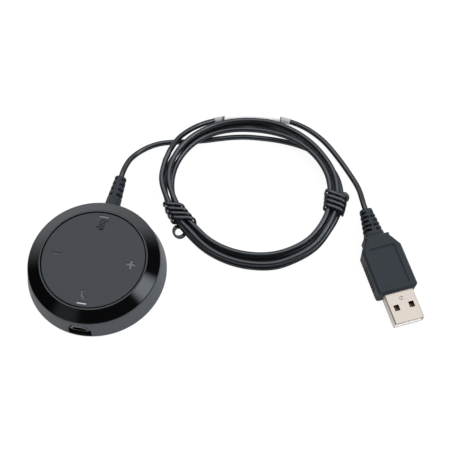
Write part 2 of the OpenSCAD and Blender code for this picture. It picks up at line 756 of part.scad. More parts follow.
// One wire from the cable's end to its place on the header, outer ones below inner ones
module wire(i) {
    side = i < 2 ? -1 : 1;
    outer = i == 0 || i == 3;
    across = [cos(relief_lean), -sin(relief_lean), 0];
    from = [0, lean_y, cable_z + wire_in[outer ? 1 : 2]] + side * wire_in[0] * across
        + (inner_end_y - lean_y) * relief_way;
    to = [wire_pitch * (i - 1.5), header_y + header.y / 2, board_top + header.z / 2];
    out = [0, -wire_d, 0];
    path = concat([from], smooth_route([from - wire_d * relief_way, (from + to) / 2, to - out]), [to]);
    color(wire_colours[i]) tube(rings(path, wire_d / 2, coil_sides, [0, 0, 1]));
}

module wire_power() {
    wire(0);
}

module wire_data_minus() {
    wire(1);
}

module wire_data_plus() {
    wire(2);
}

module wire_ground() {
    wire(3);
}

// Six-sided shell with a closed back, a key at its top and two feet on the board
module headset_socket_shell() {
    key = [0.9, 2.5, 0.7];
    foot = [1.3, 1.4, 0.3];
    half = mouth_w / 2 + socket_wall;
    color(steel) union() {
        difference() {
            union() {
                to_front(socket_back, socket_front) polygon(socket_outline(socket_wall));
                for (side = [-1, 1]) translate([side * half - foot.x, -socket_back - foot.y, board_top])
                    cube([2 * foot.x, foot.y, foot.z]);
            }
            to_front(socket_back + 2 * socket_wall, socket_front + cut) polygon(socket_outline(0));
        }
        translate([-key.x / 2, -socket_front + collar_out, socket_z + mouth_h / 2 - key.z])
            cube([key.x, key.y, key.z + socket_wall / 2]);
    }
}

// Insulating block at the back of the socket, with the tongue that carries the contacts
module headset_socket_core() {
    back = socket_back + 2 * socket_wall;
    color(frame_black) union() {
        to_front(back, back + core_back) polygon(socket_outline(-close_fit));
        translate([-tongue_w / 2, -socket_front + tongue_in, tongue_z - tongue_t / 2])
            cube([tongue_w, socket_front - tongue_in - back - core_back / 2, tongue_t]);
    }
}

module headset_socket_contacts() {
    back = socket_back + 2 * socket_wall + core_back;
    pitch = (tongue_w - contact_w) / 5;
    color(gold) for (i = [-2:2])
        translate([i * pitch - contact_w / 2, -socket_front + contact_in, tongue_z + tongue_t / 2])
            cube([contact_w, socket_front - contact_in - back, contact_t]);
}

// Insert that closes the housing's opening, with a raised collar round the socket
module socket_surround() {
    bore = socket_wall + fit;
    color(frame_black) difference() {
        union() {
            to_front(surround_back, surround_front) polygon(opening_outline(opening_grow - fit));
            to_front(surround_back, socket_front) polygon(socket_outline(bore + collar_wall));
        }
        to_front(surround_back - cut, socket_front + cut) polygon(socket_outline(bore));
    }
}

// Tapered relief with rows of side slots, held in the wall by its inner flange
module strain_relief() {
    bore = cord_d / 2 + close_fit;
    color(cable_black) at_exit() difference() {
        union() {
            translate([0, relief_y, 0]) along_y(relief_r1, relief_r2, relief_len);
            translate([0, flange_y, 0]) along_y(relief_core, relief_core, relief_y - flange_y + cut);
            translate([-flange.x / 2, flange_y, -flange.z / 2]) cube(flange);
        }
        for (i = [0:relief_rows - 1]) translate([0, relief_tip - slot_in - i * slot_pitch, 0]) difference() {
            translate([-relief_r1, 0, -relief_r1]) cube([2 * relief_r1, slot_w, 2 * relief_r1]);
            translate([0, -cut, 0]) along_y(relief_core, relief_core, slot_w + 2 * cut);
            translate([-spine_w / 2, -cut, -relief_r1 - cut])
                cube([spine_w, slot_w + 2 * cut, 2 * (relief_r1 + cut)]);
        }
        translate([0, flange_y - cut, 0]) along_y(bore, bore, relief_tip - flange_y + 2 * cut);
    }
}

// Jacketed end of the cable, from the wires to the relief's tip
module inner_cable() {
    r = cord_d / 2;
    color(cable_black) at_exit() translate([0, inner_end_y, 0]) along_y(r, r, relief_tip - inner_end_y);
}

// Saddle that holds the cable down on two posts
module cable_clamp() {
    ear = small_head_r + fit;
    saddle = cord_d / 2 + clamp_wall;
    bore = cord_d / 2 + close_fit;
    color(frame_black) at_exit() difference() {
        translate([0, clamp_y - clamp_w / 2, clamp_post_top - cable_z]) union() {
            translate([-clamp_reach - ear, 0, 0]) cube([2 * (clamp_reach + ear), clamp_w, clamp_ear_t]);
            translate([-saddle, 0, 0]) cube([2 * saddle, clamp_w, saddle + close_fit]);
        }
        translate([0, clamp_y - clamp_w, 0]) along_y(bore, bore, 2 * clamp_w);
        for (side = [-1, 1]) translate([side * clamp_reach, clamp_y, -cable_z])
            cylinder(r = small_screw_r + fit, h = puck_h);
    }
}

module clamp_screws() {
    seat = clamp_post_top + clamp_ear_t;
    color(steel) at_exit() for (side = [-1, 1]) translate([side * clamp_reach, clamp_y, seat - cable_z])
        screw(small_screw_r, seat - floor_z, small_head_r, small_head_h);
}

module cable_lead() {
    color(cable_black) tube(rings(lead_path, cord_d / 2, cord_sides, [0, 0, 1]));
}

module cable_coil() {
    color(cable_black) tube(rings(coil_path, cord_d / 2, coil_sides, [0, 0, 1]));
}

module cable_tail() {
    color(cable_black) tube(rings(tail_path, cord_d / 2, cord_sides, [0, 0, 1]));
}

module tie(i) {
    color(soft_black) tube(rings(tie_path(i), tie_t / 2, coil_sides, tie_axis(i), tie_w / tie_t));
}

module twist_tie_left() {
    tie(0);
}

module twist_tie_right() {
    tie(1);
}

// Sleeve of film over a stretch of the tail
module cable_label() {
    first = label_from / route_step;
    last = label_to / route_step;
    inner = cord_d / 2 + close_fit;
    outer = rings(tail_path, inner + label_t, cord_sides, [0, 0, 1]);
    bore = rings(tail_path, inner, cord_sides, [0, 0, 1]);
    color(label_white) difference() {
        tube([for (i = [first:last]) outer[i]]);
        tube([for (i = [first - 1:last + 1]) bore[i]]);
    }
}

// Puts a piece in the plug's own axes: X towards the tip, Z up, Y across
module at_plug() {
    translate([plug_at.x, plug_at.y, 0]) rotate(plug_yaw) children();
}

// Rectangle across the plug, with cut corners
function plug_section(w, h, corner) = [[-w / 2 + corner, -h / 2], [w / 2 - corner, -h / 2],
    [w / 2, -h / 2 + corner], [w / 2, h / 2 - corner], [w / 2 - corner, h / 2],
    [-w / 2 + corner, h / 2], [-w / 2, h / 2 - corner], [-w / 2, -h / 2 + corner]];

// Extrudes an outline across the plug along its X axis
module along_plug(from, to) {
    translate([from, 0, plug_mid]) rotate([90, 0, 90]) linear_extrude(to - from) children();
}

// Grip seen from above, drawn in by a margin, and the short neck behind its shoulders
module grip_plan(inset) {
    w = grip_w / 2 - inset;
    v = shoulder_w / 2 + neck_in - inset;
    back = shoulder_step - grip_len;
    polygon([[-inset, -w], [-inset, w], [shoulder_len - grip_len, w], [back, v],
        [back, -v], [shoulder_len - grip_len, -w]]);
}

module neck_plan(inset) {
    v = shoulder_w / 2 - inset;
    translate([inset - grip_len, -v]) square([2 * shoulder_step - inset, 2 * v]);
}

// Solid with cut edges over one of the grip's outlines
module grip_block() {
    hull() {
        translate([0, 0, grip_round]) linear_extrude(grip_h - 2 * grip_round) children(0);
        linear_extrude(grip_h) children(1);
    }
}

// Turns the relief about the middle of the grip's back
module at_tail() {
    translate([-grip_len, 0, 0]) rotate(tail_lean) translate([grip_len, 0, 0]) children();
}

// Rounded slab across the relief at the grip's back
module tail_slab(x, w, h, corner) {
    along_plug(x, x + 0.2) for (sy = [-1, 1], sz = [-1, 1])
        translate([sy * (w / 2 - corner), sz * (h / 2 - corner)]) circle(r = corner, $fn = 24);
}

// Grip with cut edges, a seam below its top face, side ribs and a sunk panel,
// and a relief behind whose rows of slots leave wide and thin bridges in turn
module plug_overmould() {
    tail_core = cord_d / 2 + tail_wall;
    tail_h1 = grip_h - 2 * grip_round;
    color(cable_black) at_plug() difference() {
        union() {
            grip_block() {
                grip_plan(0);
                grip_plan(grip_round);
            }
            grip_block() {
                neck_plan(0);
                neck_plan(grip_round);
            }
            at_tail() difference() {
                hull() {
                    tail_slab(tail_root - grip_len, tail_w1, tail_h1, 2);
                    tail_slab(-grip_len - tail_len, tail_w2, tail_h2, 2);
                }
                for (i = [0:tail_rows - 1]) {
                    bridge = i % 2 == 0 ? wide_bridge : thin_bridge;
                    step = (tail_len - 2 * tail_slot_in) / tail_rows;
                    translate([-grip_len - tail_len + tail_slot_in + i * step, 0, plug_mid]) difference() {
                        translate([0, -grip_w / 2, -grip_h / 2]) cube([tail_slot_w, grip_w, grip_h]);
                        translate([-cut, 0, 0]) rotate([0, 90, 0])
                            cylinder(r = tail_core, h = tail_slot_w + 2 * cut);
                        translate([-cut, -bridge / 2, -grip_h])
                            cube([tail_slot_w + 2 * cut, bridge, 2 * grip_h]);
                    }
                }
            }
        }
        along_plug(-shell_in, cut) polygon(plug_section(shell_w + 2 * close_fit,
            shell_h + 2 * close_fit, shell_corner));
        translate([-panel_in - panel.x, -panel.y / 2, grip_h - panel.z])
            cube([panel.x, panel.y, panel.z + cut]);
        translate([0, 0, grip_h - grip_round - grip_seam]) linear_extrude(grip_seam) difference() {
            union() {
                grip_plan(-cut);
                neck_plan(-cut);
            }
            grip_plan(grip_seam);
            neck_plan(grip_seam);
        }
        for (i = [0:grip_ribs - 1], side = [-1, 1])
            translate([-rib_in - i * rib_pitch - grip_rib.x / 2, side * grip_w / 2 - grip_rib.y,
                plug_mid - grip_rib.z / 2]) cube([grip_rib.x, 2 * grip_rib.y, grip_rib.z]);
    }
}

// Folded metal shell with a dimple, two windows above and two below
module plug_shell() {
    color(nickel) at_plug() difference() {
        along_plug(-shell_in, shell_out) polygon(plug_section(shell_w, shell_h, shell_corner));
        along_plug(-shell_in - cut, shell_out + cut)
            polygon(plug_section(shell_w - 2 * shell_t, shell_h - 2 * shell_t, shell_corner / 2));
        for (side = [-1, 1])
            translate([window_x - window.x / 2, side * window_y - window.y / 2, plug_mid - shell_h])
                cube([window.x, window.y, 2 * shell_h]);
        translate([dimple_x, 0, plug_mid + shell_h / 2 + dimple_r - dimple_d]) sphere(r = dimple_r);
    }
}

// Insulating tongue on the shell's lower wall
module plug_tongue() {
    room = shell_t + plug_tongue_fit;
    w = shell_w - 2 * (room + tongue_side);
    color(tongue_white) at_plug() translate([-shell_in, -w / 2, plug_mid - shell_h / 2 + room]) union() {
        cube([shell_in + shell_out - tongue_short, w, tongue_h]);
        cube([tongue_back, w, shell_h - 2 * room]);
    }
}

module plug_contacts() {
    top = plug_mid - shell_h / 2 + shell_t + plug_tongue_fit + tongue_h;
    color(gold) at_plug() for (y = strip_pitch)
        translate([strip_x, y - strip.y / 2, top]) cube(strip);
}

// Least gaps of the wound pieces to themselves, in millimetres
echo(coil_gap = self_gap(coil_path, cord_d, loop_rings / 3));
echo(tie_gaps = [for (i = [0, 1]) self_gap(tie_path(i), tie_w, loop_rings / 2)]);

foot_pad();
base_shell();
housing_screws();
inner_frame();
bezel_ring();
gimbal_ring();
button_plate();
mute_light_pipe();
call_light_pipe();
circuit_board();
board_screws();
mute_call_domes();
volume_domes();
led_lamps();
audio_chip();
crystal_can();
chip_capacitors();
wire_header();
wire_power();
wire_data_minus();
wire_data_plus();
wire_ground();
headset_socket_shell();
headset_socket_core();
headset_socket_contacts();
socket_surround();
strain_relief();
inner_cable();
cable_clamp();
clamp_screws();
cable_lead();
cable_coil();
cable_tail();
twist_tie_left();
twist_tie_right();
cable_label();
plug_overmould();
plug_shell();
plug_tongue();
plug_contacts();
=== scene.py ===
"""Looks of an inline headset controller: a round puck with a four-way press plate,
a tied coil of cable and a plug. All pieces are in metres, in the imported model's frame.
"""

import math

import bmesh
import bpy
from mathutils import Matrix, Vector


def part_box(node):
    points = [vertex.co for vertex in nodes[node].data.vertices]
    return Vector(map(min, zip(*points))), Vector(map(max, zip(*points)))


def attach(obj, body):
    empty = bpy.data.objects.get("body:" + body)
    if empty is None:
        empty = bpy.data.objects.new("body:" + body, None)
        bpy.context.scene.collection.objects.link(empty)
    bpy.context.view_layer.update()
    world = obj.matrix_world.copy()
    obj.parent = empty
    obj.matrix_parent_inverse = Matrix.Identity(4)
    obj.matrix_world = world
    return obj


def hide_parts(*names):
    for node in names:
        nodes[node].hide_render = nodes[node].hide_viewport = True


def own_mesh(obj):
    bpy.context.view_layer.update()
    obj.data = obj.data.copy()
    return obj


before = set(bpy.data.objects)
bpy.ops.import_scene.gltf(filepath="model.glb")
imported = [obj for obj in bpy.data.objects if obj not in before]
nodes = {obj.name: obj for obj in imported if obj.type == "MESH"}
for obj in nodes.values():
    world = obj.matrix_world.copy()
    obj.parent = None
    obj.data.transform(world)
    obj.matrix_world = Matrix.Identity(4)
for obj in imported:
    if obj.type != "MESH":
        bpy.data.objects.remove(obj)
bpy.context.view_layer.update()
scene = bpy.context.scene
scene.view_settings.view_transform = "Standard"

# Studio: a white floor that runs on into a white surround. A panel above and behind, three
# soft round lights and a low glow behind the object show in whatever is glossy. Wide lamps
# above and in front fill the shadows and don't show there.
camera_turn = math.radians(9.2)
surround_dim = 0.02
back_glow = 1.6
glow_fades_up = (0.4, 0.6)
glow_fades_round = (0.25, 0.75)
# Azimuth and elevation, the angle from its middle at which a light ends, and its level
round_lights = [(-2, 54, 14.5, 4.2), (-142, 51, 14, 0.35), (170, 7, 16, 0.8)]
lamp_distance = 1.2
# Azimuth and elevation, width and depth, power, and whether gloss shows the lamp
lamps = {"panel_behind": (90, 70, (1.6, 1.07), 6, True),
         "fill_above": (90, 80, (1.4, 1.4), 8, False),
         "fill_front": (-45, 22, (1.6, 0.9), 15, False)}
floor_half = 3
floor_drop = 0.0001
floor_paint = 0.5
floor_paint_seen = 0.12
floor_glow = 0.92
floor_glow_mirrored = 0.3


def add_node(tree, kind, inputs=(), **settings):
    """Adds a shader node; each of its inputs is a plain value or another node's output."""
    node = tree.nodes.new("ShaderNode" + kind)
    for name, value in settings.items():
        setattr(node, name, value)
    for key, value in dict(inputs).items():
        if isinstance(value, bpy.types.NodeSocket):
            tree.links.new(value, node.inputs[key])
        else:
            node.inputs[key].default_value = value
    return node


def faded(tree, value, start, end, low, high):
    """Smooth change from low to high while value goes from start to end."""
    node = add_node(tree, "MapRange", {"Value": value, "From Min": start, "From Max": end,
                                       "To Min": low, "To Max": high},
                    interpolation_type="SMOOTHSTEP")
    return node.outputs["Result"]


def arithmetic(tree, operation, first, second):
    """Result of a sum on two values."""
    return add_node(tree, "Math", {0: first, 1: second}, operation=operation).outputs[0]


def link_piece(name, data):
    """Puts new mesh or curve data in the scene as an object at the origin."""
    obj = bpy.data.objects.new(name, data)
    scene.collection.objects.link(obj)
    return obj


def close_mesh(name, bm):
    """Makes an object of a bmesh and frees it."""
    mesh = bpy.data.meshes.new(name)
    bm.to_mesh(mesh)
    bm.free()
    return link_piece(name, mesh)


def way_to(azimuth, elevation):
    """Direction of a light, in degrees round from the camera's right and up from the floor."""
    turn, rise = math.radians(azimuth) + camera_turn, math.radians(elevation)
    return Vector((math.cos(rise) * math.cos(turn), math.cos(rise) * math.sin(turn), math.sin(rise)))


def softbox(name, azimuth, elevation, size, power, shows):
    """Area lamp that is aimed at the puck from a direction."""
    way = way_to(azimuth, elevation)
    lamp = bpy.data.lights.new(name, "AREA")
    lamp.shape = "RECTANGLE"
    lamp.size, lamp.size_y = size
    lamp.energy = power
    obj = link_piece(name, lamp)
    obj.location = way * lamp_distance
    obj.rotation_euler = way.to_track_quat("Z", "Y").to_euler()
    obj.visible_camera = False
    obj.visible_glossy = shows


def glow_towards(tree, ray, way, start, end, level):
    """Light that grows to a level while a ray's cosine to a direction goes from start to end."""
    cosine = add_node(tree, "VectorMath", {0: ray, 1: way}, operation="DOT_PRODUCT").outputs["Value"]
    return faded(tree, cosine, start, end, 0, level)


surround = bpy.data.worlds.new("surround")
surround.use_nodes = True
scene.world = surround
tree = surround.node_tree
tree.nodes.clear()
ray = add_node(tree, "TexCoord").outputs["Generated"]
height = add_node(tree, "SeparateXYZ", {0: ray}).outputs["Z"]
low_glow = arithmetic(tree, "MULTIPLY", faded(tree, height, *glow_fades_up, 1, 0),
                      glow_towards(tree, ray, way_to(90, 0), *glow_fades_round, back_glow))
level = arithmetic(tree, "ADD", low_glow, surround_dim)
for azimuth, elevation, reach, strength in round_lights:
    light = glow_towards(tree, ray, way_to(azimuth, elevation), math.cos(math.radians(reach)), 1, strength)
    level = arithmetic(tree, "ADD", level, light)
level = arithmetic(tree, "MAXIMUM", level, add_node(tree, "LightPath").outputs["Is Camera Ray"])
sky = add_node(tree, "Background", {"Color": (1, 1, 1, 1), "Strength": level})
add_node(tree, "OutputWorld", {"Surface": sky.outputs[0]})

for name, setting in lamps.items():
    softbox(name, *setting)

bm = bmesh.new()
bmesh.ops.create_grid(bm, x_segments=1, y_segments=1, size=floor_half)
bmesh.ops.translate(bm, verts=bm.verts, vec=(0, 0, -floor_drop))
floor = close_mesh("floor", bm)
floor_white = bpy.data.materials.new("floor_white")
floor_white.use_nodes = True
tree = floor_white.node_tree
tree.nodes.clear()
path = add_node(tree, "LightPath").outputs
seen = arithmetic(tree, "MAXIMUM", path["Is Camera Ray"], path["Is Transmission Ray"])
glow = arithmetic(tree, "MAXIMUM", arithmetic(tree, "MULTIPLY", seen, floor_glow),
                  arithmetic(tree, "MULTIPLY", path["Is Glossy Ray"], floor_glow_mirrored))
paint = add_node(tree, "Mix", {"Factor": path["Is Camera Ray"], "A": (floor_paint,) * 3 + (1,),
                               "B": (floor_paint_seen,) * 3 + (1,)}, data_type="RGBA")
lit = add_node(tree, "BsdfDiffuse", {"Color": paint.outputs["Result"]})
glowing = add_node(tree, "Emission", {"Strength": glow})
top_side = add_node(tree, "AddShader", {0: lit.outputs[0], 1: glowing.outputs[0]})
clear = add_node(tree, "BsdfTransparent")
both = add_node(tree, "MixShader", {0: add_node(tree, "NewGeometry").outputs["Backfacing"],
                                    1: top_side.outputs[0], 2: clear.outputs[0]})
add_node(tree, "OutputMaterial", {"Surface": both.outputs[0]})
floor.data.materials.append(floor_white)

# Camera: a short telephoto that looks down on the object from in front.
camera_tilt = math.radians(26.7074)
camera = bpy.data.cameras.new("camera")
camera.lens = 59.93
camera.sensor_width = 36
eye = link_piece("camera", camera)
eye.location = (0.070176, -0.11033, 0.2791)
eye.rotation_euler = (camera_tilt, 0, camera_turn)
scene.camera = eye

# Cable: one round lead in a soft black jacket, about a metre long. It leaves the puck's
# relief, passes under the coil on the left and again on the right, makes three and a half
# turns from the outside in and out again above, and runs on behind them to the plug. In mm.
MM = 0.001
cable_d = 2.3
straight = 3
relief_lean = math.radians(2.5)
relief_way = Vector((math.sin(relief_lean), math.cos(relief_lean), 0))
relief_root = Vector((0, 20, 5.2))
relief_length = 20.7
lead_start = relief_root + relief_length * relief_way
lead_route = [(1.4, 48, 4.1), (2.3, 52.6, 2.4), (5, 57.1, 1.4), (8.7, 60.5, 1.2),
              (13, 62.9, 1.2), (18, 64.4, 1.2), (25, 65.9, 1.2), (32, 67.6, 1.2), (38, 69.5, 1.2),
              (44, 71.2, 1.2), (50, 72.3, 1.2), (56, 72.7, 1.2), (62, 72.8, 1.2), (68, 72.4, 1.2),
              (73.4, 71.5, 1.2), (77.9, 70.2, 1.2)]
tail_route = [(21.2, 64.3, 5.4), (25, 70.1, 4.2), (29.6, 74.6, 3.1), (34.4, 77.8, 2.2),
              (39, 79.9, 1.7), (44.6, 81.4, 1.6), (50.6, 82.5, 1.6), (57, 83.3, 1.6),
              (62.8, 83.6, 1.6), (67.6, 83.1, 1.6), (72.2, 82, 1.4), (77.4, 79.8, 1.2),
              (83.7, 75.3, 1.2), (90.3, 68.2, 1.2), (96.6, 59.7, 1.6), (100.4, 53, 2.7)]
plug_front = Vector((118.9, 7.8, 4.15))
plug_yaw, tail_lean = math.radians(-65.2), math.radians(-4)
plug_way = Vector((math.cos(plug_yaw), math.sin(plug_yaw), 0))
tail_way = Vector((math.cos(plug_yaw + tail_lean), math.sin(plug_yaw + tail_lean), 0))
grip_length, grip_boot = 24.7, 13
tail_end = plug_front - grip_length * plug_way - grip_boot * tail_way
coil_at = (55.5, 45.6)
coil_a, coil_b = 33.1, 28.8
coil_tilt = math.radians(-11)
coil_start = 36
coil_pitch, coil_layer = 2.5, 2.8
loop_knots = 24
coil_knots = 87
coil_turns = coil_knots / loop_knots
climb = 0.5
rise_in = 0.08
desk_gap = 0.05
small_turn = 0.002
# Angle round the coil, how far its lowest turn is lifted off the desk there, how far the turns
# spread, close at the ties and loose between them, and how far the upper layer draws in
lay = [(-90, 0, 1.54, 0.57), (-70, 0.1, 1.6, 0.3), (-45, 0.5, 1.3, 0), (-22, 1.7, 1.05, 0.2),
       (-2, 2.1, 1.15, 0.5), (12, 2.3, 1.2, 0.5), (25, 2.5, 1.2, 0), (40, 2.7, 1.13, 0),
       (60, 2.55, 1.4, 0), (80, 1.5, 1.76, 0), (100, 1.3, 1.6, 0), (122, 2.2, 1.2, 0),
       (145, 2.9, 1, 0), (160, 2.7, 1.05, 0), (180, 2.3, 1.25, 0.4), (200, 2.1, 1.1, 1.2),
       (227, 2.1, 1.05, 1.6), (246, 0.4, 1.25, 1.1), (257, 0.1, 1.4, 0.8), (270, 0, 1.54, 0.57)]


def eased(share):
    """Smooth step from 0 to 1."""
    k = min(1, max(0, share))
    return k * k * (3 - 2 * k)


def laid(angle, column):
    """Lift, spread or drawing in of the turns at an angle round the coil."""
    a = angle - 360 * math.floor((angle + 90) / 360)
    for here, following in zip(lay, lay[1:]):
        if a <= following[0]:
            share = eased((a - here[0]) / (following[0] - here[0]))
            return here[column] + (following[column] - here[column]) * share


def coil_point(turn):
    """Point of the coil's centre line after a number of turns: in, up a layer and out again."""
    angle = coil_start - 360 * turn
    up = eased((turn - coil_turns / 2 + climb / 2) / climb)
    out = coil_pitch * laid(angle, 2) * abs(coil_turns / 2 - turn) - laid(angle, 3) * up
    u = (coil_a + out) * math.cos(math.radians(angle) - coil_tilt)
    v = (coil_b + out) * math.sin(math.radians(angle) - coil_tilt)
    lift = max(laid(angle, 1) * eased(turn / rise_in), desk_gap)
    return Vector((coil_at[0] + u * math.cos(coil_tilt) - v * math.sin(coil_tilt),
                   coil_at[1] + u * math.sin(coil_tilt) + v * math.cos(coil_tilt),
                   cable_d / 2 + lift + coil_layer * up))


def round_wire(name, points, diameter):
    """Curve with one open spline through points in mm, swept round at a diameter in mm."""
    curve = bpy.data.curves.new(name, "CURVE")
    curve.dimensions = "3D"
    curve.resolution_u = 6
    curve.bevel_depth = diameter / 2 * MM
    curve.bevel_resolution = 6
    curve.use_fill_caps = True
    spline = curve.splines.new("BEZIER")
    spline.bezier_points.add(len(points) - 1)
    for i, knot in enumerate(spline.bezier_points):
        here, last, following = points[i], points[max(i - 1, 0)], points[min(i + 1, len(points) - 1)]
        way = (following - last).normalized()
        knot.handle_left_type = knot.handle_right_type = "FREE"
        knot.co = here * MM
        knot.handle_left = (here - way * (here - last).length / 3) * MM
        knot.handle_right = (here + way * (following - here).length / 3) * MM
    return link_piece(name, curve)


coil_in_way = (coil_point(small_turn) - coil_point(0)).normalized()
coil_out_way = (coil_point(coil_turns) - coil_point(coil_turns - small_turn)).normalized()
coil_in = coil_point(0) - cable_d * coil_in_way
coil_out = coil_point(coil_turns) + cable_d * coil_out_way
lead = [lead_start, lead_start + straight * relief_way, *map(Vector, lead_route),
        coil_in - straight * coil_in_way, coil_in]
turns = [coil_point(k / loop_knots) for k in range(coil_knots + 1)]
tail = [coil_out, coil_out + straight * coil_out_way, *map(Vector, tail_route),
        tail_end - straight * tail_way, tail_end]
cable = round_wire("cable", lead + turns + tail, cable_d)


def srgb(red, green, blue):
    """Colour for a socket from three screen values of 0 to 255."""
    def linear(c):
        c /= 255
        return c / 12.92 if c <= 0.04045 else ((c + 0.055) / 1.055) ** 2.4
    return (linear(red), linear(green), linear(blue), 1)


# Tint of the light that dark plastic mirrors, a little bluer than what falls on it
cool = (0.87, 0.95, 1.06, 1)
# Size of the slow drift of tone against the grain, and its part in the unevenness
cloud_scale, cloud_part = 0.03, 0.7


def make_skin():
    """Node group for any moulded or drawn surface: fine grain, and a slow drift of tone."""
    group = bpy.data.node_groups.new("moulded_skin", "ShaderNodeTree")
    for name, kind in (("Colour", "Color"), ("Drift", "Float"), ("Roughness", "Float"),
                       ("Spread", "Float"), ("Grain", "Float")):
        group.interface.new_socket(name, in_out="INPUT", socket_type="NodeSocket" + kind)
    for name, kind in (("Colour", "Color"), ("Roughness", "Float"), ("Height", "Float")):
        group.interface.new_socket(name, in_out="OUTPUT", socket_type="NodeSocket" + kind)
    given = group.nodes.new("NodeGroupInput").outputs
    made = group.nodes.new("NodeGroupOutput").inputs
    place = add_node(group, "TexCoord").outputs["Object"]
    fine = {"Vector": place, "Scale": given["Grain"], "Detail": 2}
    grain = add_node(group, "TexNoise", fine).outputs["Fac"]
    cloud_grain = arithmetic(group, "MULTIPLY", given["Grain"], cloud_scale)
    slow = {"Vector": place, "Scale": cloud_grain, "Detail": 3}
    cloud = add_node(group, "TexNoise", slow).outputs["Fac"]
    mixed = arithmetic(group, "ADD", arithmetic(group, "MULTIPLY", cloud, cloud_part),
                       arithmetic(group, "MULTIPLY", grain, 1 - cloud_part))
    swing = arithmetic(group, "SUBTRACT", mixed, 0.5)
    shift = arithmetic(group, "MULTIPLY", swing, given["Drift"])
    tone = add_node(group, "VectorMath", {0: given["Colour"], "Scale": arithmetic(group, "ADD", shift, 1)},
                    operation="SCALE").outputs[0]
    uneven = arithmetic(group, "MULTIPLY", swing, given["Spread"])
    group.links.new(tone, made["Colour"])
    group.links.new(arithmetic(group, "ADD", given["Roughness"], uneven), made["Roughness"])
    group.links.new(grain, made["Height"])
    return group


skin = make_skin()


def moulded(name, colour, roughness, grain, relief, drift=0.25, spread=0.15, **finish):
    """Material with the moulded skin: grain in cells per metre, relief in metres of bump."""
    material = bpy.data.materials.new(name)
    material.use_nodes = True
    tree = material.node_tree
    surface = add_node(tree, "Group", node_tree=skin)
    for key, value in (("Colour", colour), ("Drift", drift), ("Roughness", roughness),
                       ("Spread", spread), ("Grain", grain)):
        surface.inputs[key].default_value = value
    bump = add_node(tree, "Bump", {"Height": surface.outputs["Height"], "Distance": relief})
    shader = tree.nodes["Principled BSDF"]
    tree.links.new(surface.outputs["Colour"], shader.inputs["Base Color"])
    tree.links.new(surface.outputs["Roughness"], shader.inputs["Roughness"])
    tree.links.new(bump.outputs["Normal"], shader.inputs["Normal"])
    for key, value in finish.items():
        shader.inputs[key.replace("_", " ")].default_value = value
    return material


# How far a face turns away while its sheen fades, and the sheen before and after
sheen_fades = (0.06, 0.45)
sheen_levels = (1, 0.08)


def soft_black(name, colour, roughness, grain):
    """Soft black plastic with a sheen on top and dull sides."""
    material = moulded(name, colour, roughness, grain, 0.5e-6, drift=0.15, spread=0.05,
                       Specular_Tint=cool, IOR=1.7)
    tree = material.node_tree
    facing = add_node(tree, "LayerWeight").outputs["Facing"]
    tree.links.new(faded(tree, facing, *sheen_fades, *sheen_levels),
                   tree.nodes["Principled BSDF"].inputs["Specular IOR Level"])
    return material


jacket = soft_black("cable_jacket", srgb(12, 15, 19), 0.32, 2500)
cable.data.materials.append(jacket)
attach(cable, "housing")
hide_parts("cable_lead", "cable_coil", "cable_tail")

# Twist ties: a flat coated strip wound four times round the four strands of the coil, on its
# left and on its right. The free end springs out in a loop that lies on the desk.
tie_w, tie_t = 1.8, 0.95
tie_gap = 0.35
tie_pitch = 2.1
tie_turns = 4
strand_count = 4
tie_power = 0.5
tie_corner = 225
loop_step = 28
loop_points = 8
tie_rest = 0.05
# Angle round the coil, reach of the free loop, and how far a turn runs along as it crosses over
tie_places = {"left": (217, 2.3, -0.62), "right": (-2, 1.9, -0.17)}


def bundle_way(turn):
    """Level direction of the coil at a turn, as long as its step there."""
    way = coil_point(turn + small_turn) - coil_point(turn - small_turn)
    return Vector((way.x, way.y, 0))


def middle_and_half(values):
    """Middle of a list's spread, and half of it."""
    return (max(values) + min(values)) / 2, (max(values) - min(values)) / 2


def squared(share):
    """Sine or cosine, pushed out towards the corners of a rounded square."""
    return math.copysign(abs(share) ** tie_power, share)


def wind_tie(name, angle, reach, skew):
    """Strip with a free loop on the desk, its turns, and an end that is tucked in."""
    middle = (coil_start - angle) / 360 % 1
    along = bundle_way(middle).normalized()
    across = Vector((along.y, -along.x, 0))
    turn_step = 2 * small_turn / bundle_way(middle).length
    room = cable_d / 2 + tie_gap + tie_t / 2

    def bundle_at(turn):
        strands = [coil_point(turn + k) for k in range(strand_count)]
        return *middle_and_half([s @ across for s in strands]), *middle_and_half([s.z for s in strands])

    def wrap_point(shift, around):
        turn = middle + shift * turn_step
        side, rise = squared(math.cos(around)), squared(math.sin(around))
        lean = skew * (bundle_at(turn)[1] + room) * side
        u, half_u, z, half_z = bundle_at(turn + lean * turn_step)
        return (across * (u + (half_u + room) * side) + along * (coil_point(middle) @ along + shift + lean)
                + Vector((0, 0, z + (half_z + room) * rise)))

    step = tie_pitch * math.hypot(1, skew) / loop_knots
    last = round(loop_knots * (tie_turns + (180 - tie_corner) / 360))
    wound = [wrap_point((k - last / 2) * step, math.radians(tie_corner + 360 * k / loop_knots))
             for k in range(last + 1)]
    fall = Vector((0, 0, tie_w / 2 + tie_rest - wound[0].z))
    loop = []
    for k in range(loop_points, 0, -1):
        a = math.radians(loop_step * k)
        loop.append(wound[0] - reach * (math.sin(a) * across + (1 - math.cos(a)) * along)
                    + eased(2 * k / loop_points) * fall)
    path = loop + wound + [wound[-1] + Vector((0, 0, tie_t))]
    # A round wire on a path that is squeezed along the bundle is stretched back to a flat strip
    stretch = Matrix.Scale(tie_w / tie_t, 3, along)
    wire = round_wire(name, [stretch.inverted() @ point for point in path], tie_t)
    wire.data.resolution_u = 3
    strip = bpy.data.meshes.new_from_object(wire)
    bpy.data.objects.remove(wire)
    strip.transform(stretch.to_4x4())
    strip.shade_smooth()
    return link_piece(name, strip)


